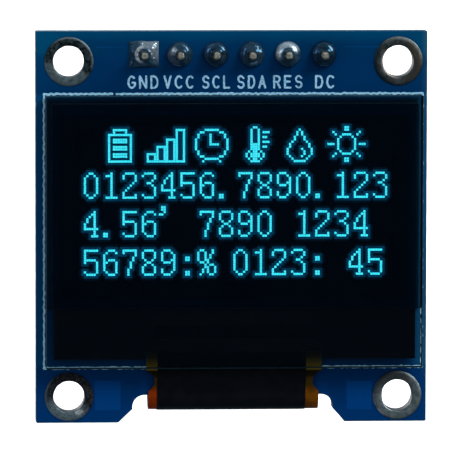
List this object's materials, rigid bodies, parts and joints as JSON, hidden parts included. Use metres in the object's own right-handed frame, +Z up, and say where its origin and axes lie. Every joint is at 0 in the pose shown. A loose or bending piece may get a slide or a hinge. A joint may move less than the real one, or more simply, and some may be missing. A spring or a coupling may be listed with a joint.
{
  "type": "small oled module",
  "caption": "Small square display module: a lit glass panel on a blue circuit board with corner screw holes, a pin header and a flexible tail folded round a notch.",
  "frame": {"origin": "centre of the four screw holes, on the board's back face", "axes": "+X to the right and +Z up as the screen is read; the screen faces -Y and the header's pins point along +Y"},
  "size_m": [0.0277, 0.0118, 0.0277],
  "materials": {
    "board": "glossy blue solder mask over glass-fibre laminate",
    "tinned_ring": "dull mottled tin",
    "header_plastic": "satin moulded black",
    "pin_metal": "thin gold plate",
    "solder": "bright solder",
    "legend": "printed ink",
    "glass": "clear",
    "polariser": "smooth dark film",
    "emitter": "thin emitting layer",
    "seal": "cured resin",
    "drying_sheet": "matt",
    "silicon": "polished",
    "potting": "black compound",
    "foam": "matt foam",
    "amber_film": "smooth amber film",
    "black_film": "satin black film",
    "moulding": "moulded black",
    "capacitor_ceramic": "fired tan ceramic",
    "resistor_ceramic": "black glaze"
  },
  "bodies": {
    "root": {"pcb": "board", "hole_plating_top_left": "tinned_ring", "hole_plating_top_right": "tinned_ring", "hole_plating_bottom_left": "tinned_ring", "hole_plating_bottom_right": "tinned_ring", "header_strip": "header_plastic", "header_pin_1": "pin_metal", "header_pin_2": "pin_metal", "header_pin_3": "pin_metal", "header_pin_4": "pin_metal", "header_pin_5": "pin_metal", "header_pin_6": "pin_metal", "solder_joint_1": "solder", "solder_joint_2": "solder", "solder_joint_3": "solder", "solder_joint_4": "solder", "solder_joint_5": "solder", "solder_joint_6": "solder", "silkscreen": "legend", "display_glass": "glass", "display_cap_glass": "glass", "display_polarizer": "polariser", "display_emitter": "emitter", "display_seal": "seal", "desiccant_sheet": "drying_sheet", "driver_chip": "silicon", "ledge_potting": "potting", "foam_tape": "foam", "flex_tail": "amber_film", "flex_cover": "black_film", "tail_solder": "solder", "regulator": "moulding", "diode": "moulding", "capacitor_1": "capacitor_ceramic", "capacitor_2": "capacitor_ceramic", "capacitor_3": "capacitor_ceramic", "capacitor_4": "capacitor_ceramic", "capacitor_5": "capacitor_ceramic", "capacitor_6": "capacitor_ceramic", "capacitor_7": "capacitor_ceramic", "resistor_1": "resistor_ceramic", "resistor_2": "resistor_ceramic", "resistor_3": "resistor_ceramic", "resistor_4": "resistor_ceramic", "resistor_5": "resistor_ceramic", "resistor_6": "resistor_ceramic", "resistor_7": "resistor_ceramic", "smd_solder": "solder"}
  },
  "joints": []
}
